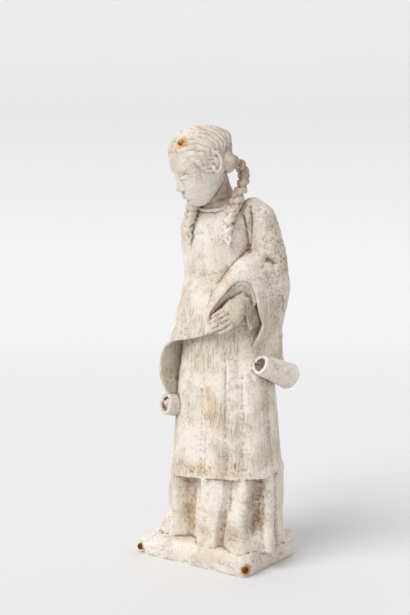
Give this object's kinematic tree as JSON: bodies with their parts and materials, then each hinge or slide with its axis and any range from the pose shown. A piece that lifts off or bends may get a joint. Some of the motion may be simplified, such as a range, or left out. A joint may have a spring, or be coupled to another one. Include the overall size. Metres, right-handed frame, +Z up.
{
  "type": "girl statue",
  "caption": "Plaster statue of a standing girl in a long dress with braids and a scroll-ended sash, head bowed, on a rough slab plinth.",
  "frame": {"origin": "on the floor under the middle of the figure, which is 6 mm and 5 mm off the middle of the plinth", "axes": "+Z up, the figure faces -Y, its left hand is towards +X"},
  "size_m": [0.2486, 0.1717, 0.7001],
  "materials": {
    "plaster": "aged cream plaster, dull, with brown dirt in the folds and cracks",
    "rusty_iron": "dark rust"
  },
  "bodies": {
    "root": {"girl_statue": "plaster", "head_stud": "rusty_iron", "left_plinth_stud": "rusty_iron", "front_plinth_stud": "rusty_iron"}
  },
  "joints": []
}
